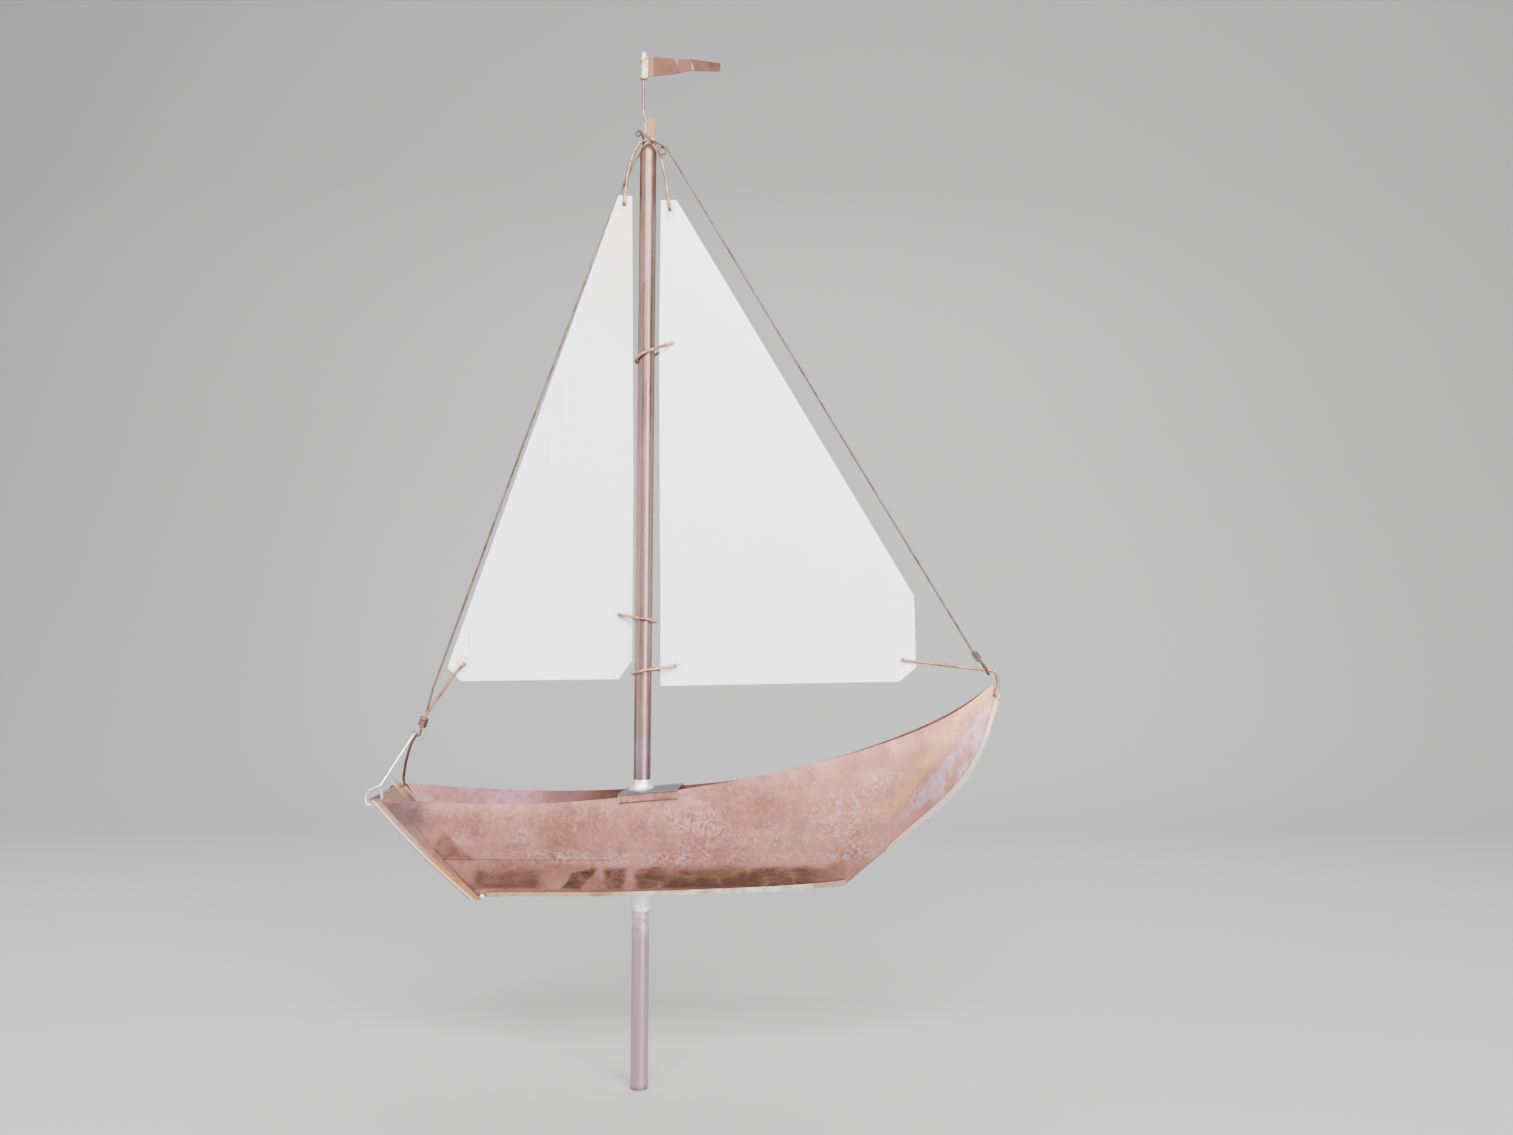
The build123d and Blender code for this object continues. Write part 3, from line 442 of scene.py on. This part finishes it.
def solder_material():
    grey, white, pit = (0.62, 0.63, 0.65), (0.90, 0.90, 0.90), (0.34, 0.31, 0.30)
    s = Shader("solder")
    lumps = s.noise(260, 4, 0.55)
    color = s.mix(s.ramp(lumps, 0.32, 0.58), grey, white)
    color = s.mix(s.ramp(s.noise(420, 4, 0.6), 0.60, 0.72, 0.0, 0.7), color, pit)
    return s.done(color, s.ramp(lumps, 0.3, 0.7, 0.28, 0.45), 0.6, s.bump(lumps, 0.5, 0.0012))


# ---------------------------------------------------------------- sails

RUST, GREY_STAIN = (0.42, 0.30, 0.22), (0.50, 0.48, 0.47)
# Stains just below the tie holes: x, z, half sizes, share, tone
FORE_SAIL_RUST = [
    (0.0215, 0.8125, 0.005, 0.009, 0.8, RUST), (0.0245, 0.6835, 0.004, 0.004, 0.5, RUST),
    (0.0298, 0.3780, 0.005, 0.004, 0.5, RUST), (0.2408, 0.3840, 0.005, 0.005, 0.5, RUST),
]
AFT_SAIL_RUST = [
    (-0.0226, 0.4245, 0.007, 0.006, 0.5, GREY_STAIN), (-0.0227, 0.8180, 0.005, 0.007, 0.7, RUST),
    (-0.1664, 0.3796, 0.006, 0.006, 0.6, RUST),
]
# Grey drip marks on the aft sail: x, lower and upper end, half width
DRIPS = [(-0.076, 0.600, 0.652, 0.004), (-0.090, 0.565, 0.622, 0.005), (-0.163, 0.368, 0.415, 0.008)]


def sail_paint(s, white):
    """White paint with faint unevenness; gives the colour and a coarse brushed grain."""
    warm_grey = (0.72, 0.70, 0.67)
    color = s.mix(s.ramp(s.noise(12, 5, 0.6), 0.40, 0.75, 0.0, 0.07), white, warm_grey)
    return color, s.noise(260, 4, 0.6, stretch=(1, 1, 0.5))


def stain_holes(s, color, stains):
    """Stains round the tie holes, broken up by noise."""
    for x, z, rx, rz, share, tone in stains:
        broken = s.ramp(s.noise(240, 5, 0.65), 0.35, 0.65, 0.25, 1.0)
        color = s.mix(s.times(s.spot(x, z, rx, rz, 0.6), broken, share), color, tone)
    return color


def paint_done(s, color, grain):
    waves = s.bump(s.noise(9, 2, 0.5), 0.25, 0.004)
    return s.done(color, s.ramp(grain, 0.3, 0.7, 0.40, 0.55), 0.0, s.bump(grain, 0.12, 0.0003, waves))


def fore_sail_material():
    s = Shader("fore_sail_paint")
    color, grain = sail_paint(s, (0.93, 0.935, 0.94))
    return paint_done(s, stain_holes(s, color, FORE_SAIL_RUST), grain)


def aft_sail_material():
    head_tan, drip_grey, luff_grey = (0.74, 0.62, 0.55), (0.50, 0.50, 0.53), (0.62, 0.61, 0.62)
    s = Shader("aft_sail_paint")
    color, grain = sail_paint(s, (0.92, 0.92, 0.92))
    color = s.mix(s.ramp(s.z, 0.600, 0.820, 0.0, 0.42), color, head_tan)
    runs = s.ramp(s.noise(150, 3, 0.5, stretch=(1, 1, 0.02)), 0.52, 0.60)
    for x, low, high, half in DRIPS:
        drip = s.times(s.band(s.x, x - half, x + half, 0.003), s.band(s.z, low, high, 0.010), runs)
        color = s.mix(s.times(drip, 0.55), color, drip_grey)
    luff = s.times(s.ramp(s.x, -0.020, -0.011, 0.0, 0.5), s.ramp(s.z, 0.56, 0.42))
    color = s.mix(luff, color, luff_grey)
    return paint_done(s, stain_holes(s, color, AFT_SAIL_RUST), grain)


# ---------------------------------------------------------------- materials on the pieces

LOOKS = {
    "hull_copper": hull_material(),
    "transom_copper": transom_material(),
    "keel_copper": keel_material(),
    "stem_copper": stem_material(),
    "deck_copper": deck_material(),
    "mast_copper": mast_material(),
    "tab_copper": plain_metal("tab_copper", (0.145, 0.078, 0.040), (0.25, 0.145, 0.080), 0.5, 0.85, 150),
    "pennant_copper": pennant_material(),
    "tie_copper": wire_material("tie_copper", (0.52, 0.285, 0.185), (0.20, 0.100, 0.066)),
    "stay_copper": wire_material("stay_copper", (0.205, 0.125, 0.090), (0.085, 0.045, 0.032)),
    "staff_copper": wire_material("staff_copper", (0.42, 0.26, 0.20), (0.22, 0.12, 0.09)),
    "solder": solder_material(),
    "fore_sail_paint": fore_sail_material(),
    "aft_sail_paint": aft_sail_material(),
    "pivot_brass": plain_metal("pivot_brass", (0.60, 0.42, 0.16), (0.70, 0.52, 0.24), 0.3, 0.9),
    "bearing_steel": plain_metal("bearing_steel", (0.55, 0.56, 0.58), (0.62, 0.62, 0.64), 0.18, 1.0),
}
BRIDLE_LIGHT, BRIDLE_DARK = (0.22, 0.135, 0.10), (0.10, 0.055, 0.04)
# The bridle has its own look, because half of it is tinned
NODE_LOOKS = {
    "transom_bridle": wire_material("bridle_copper", BRIDLE_LIGHT, BRIDLE_DARK, 0.32, starboard_leg),
}

for part in frame["record"]["subparts"]:
    node_name, slot = part["node"], part["material_slot"]
    piece = nodes[node_name]
    piece.data.materials.clear()
    piece.data.materials.append(NODE_LOOKS.get(node_name, LOOKS[slot]))

# ---------------------------------------------------------------- studio

# Name, place, aim, size, power and colour of each soft light
LIGHTS = [
    ("window_left", (-2.1, -1.0, 1.1), (0, 0, 0.40), (1.2, 2.0), 28, (1.0, 0.985, 0.96)),
    ("window_right", (2.4, -3.36, 1.39), (0, 0, 0.35), (1.44, 3.52), 350, (1.0, 0.99, 0.98)),
    ("sky_front", (0.0, -1.9, 1.9), (0, 0, 0.62), (1.8, 1.0), 118, (0.98, 0.99, 1.0)),
    ("top", (0.0, 0.95, 2.8), (0, 0, 0.4), (2.6, 2.0), 80, (1.0, 1.0, 1.0)),
]
ROOM_COLOR, ROOM_STRENGTH = (0.82, 0.83, 0.85, 1.0), 0.58
FLOOR_COLOR = (0.40, 0.40, 0.395)
FLOOR_HALF_WIDTH, FLOOR_FRONT, FLOOR_BEND = 7.0, -6.0, 1.6
BEND_RADIUS, BEND_STEPS, BACKDROP_TOP = 1.2, 12, 6.0


def soft_light(name, place, aim, size, power, color):
    data = bpy.data.lights.new(name, "AREA")
    data.shape = "RECTANGLE"
    data.size, data.size_y = size
    data.energy = power
    data.color = color
    light = bpy.data.objects.new(name, data)
    bpy.context.scene.collection.objects.link(light)
    light.location = place
    light.rotation_mode = "QUATERNION"
    light.rotation_quaternion = (Vector(aim) - Vector(place)).to_track_quat("-Z", "Y")


def sweep_floor():
    """Pale floor that curves up into a backdrop behind the object."""
    profile = [(FLOOR_FRONT, 0.0), (FLOOR_BEND, 0.0)]
    for step in range(1, BEND_STEPS + 1):
        angle = math.radians(90 * step / BEND_STEPS)
        rise = BEND_RADIUS * (1 - math.cos(angle))
        profile.append((FLOOR_BEND + BEND_RADIUS * math.sin(angle), rise))
    profile.append((FLOOR_BEND + BEND_RADIUS, BACKDROP_TOP))
    verts = [(x, y, z) for y, z in profile for x in (-FLOOR_HALF_WIDTH, FLOOR_HALF_WIDTH)]
    faces = [(2 * k, 2 * k + 1, 2 * k + 3, 2 * k + 2) for k in range(len(profile) - 1)]
    mesh = bpy.data.meshes.new("studio_floor")
    mesh.from_pydata(verts, [], faces)
    for polygon in mesh.polygons:
        polygon.use_smooth = True
    floor = bpy.data.objects.new("studio_floor", mesh)
    bpy.context.scene.collection.objects.link(floor)
    mesh.materials.append(Shader("studio_floor").done(FLOOR_COLOR, 0.9, 0.0))


sweep_floor()
for light_values in LIGHTS:
    soft_light(*light_values)

world = bpy.data.worlds.new("studio_world")
bpy.context.scene.world = world
world.use_nodes = True
background = world.node_tree.nodes["Background"]
background.inputs["Color"].default_value = ROOM_COLOR
background.inputs["Strength"].default_value = ROOM_STRENGTH

# ---------------------------------------------------------------- camera

CAMERA_PLACE = (0.105, -1.0583, 0.3815)
CAMERA_LENS, CAMERA_SENSOR = 27.03, 36.0
TILT_UP, ROLL = math.radians(4.8), math.radians(0.1)

camera_data = bpy.data.cameras.new("photo_camera")
camera_data.sensor_width = CAMERA_SENSOR
camera_data.lens = CAMERA_LENS
camera_data.clip_start, camera_data.clip_end = 0.02, 50.0
camera = bpy.data.objects.new("photo_camera", camera_data)
bpy.context.scene.collection.objects.link(camera)
camera.location = CAMERA_PLACE
forward = Vector((0, math.cos(TILT_UP), math.sin(TILT_UP)))
camera.rotation_mode = "QUATERNION"
camera.rotation_quaternion = forward.to_track_quat("-Z", "Y") @ Matrix.Rotation(ROLL, 3, "Z").to_quaternion()
bpy.context.scene.camera = camera
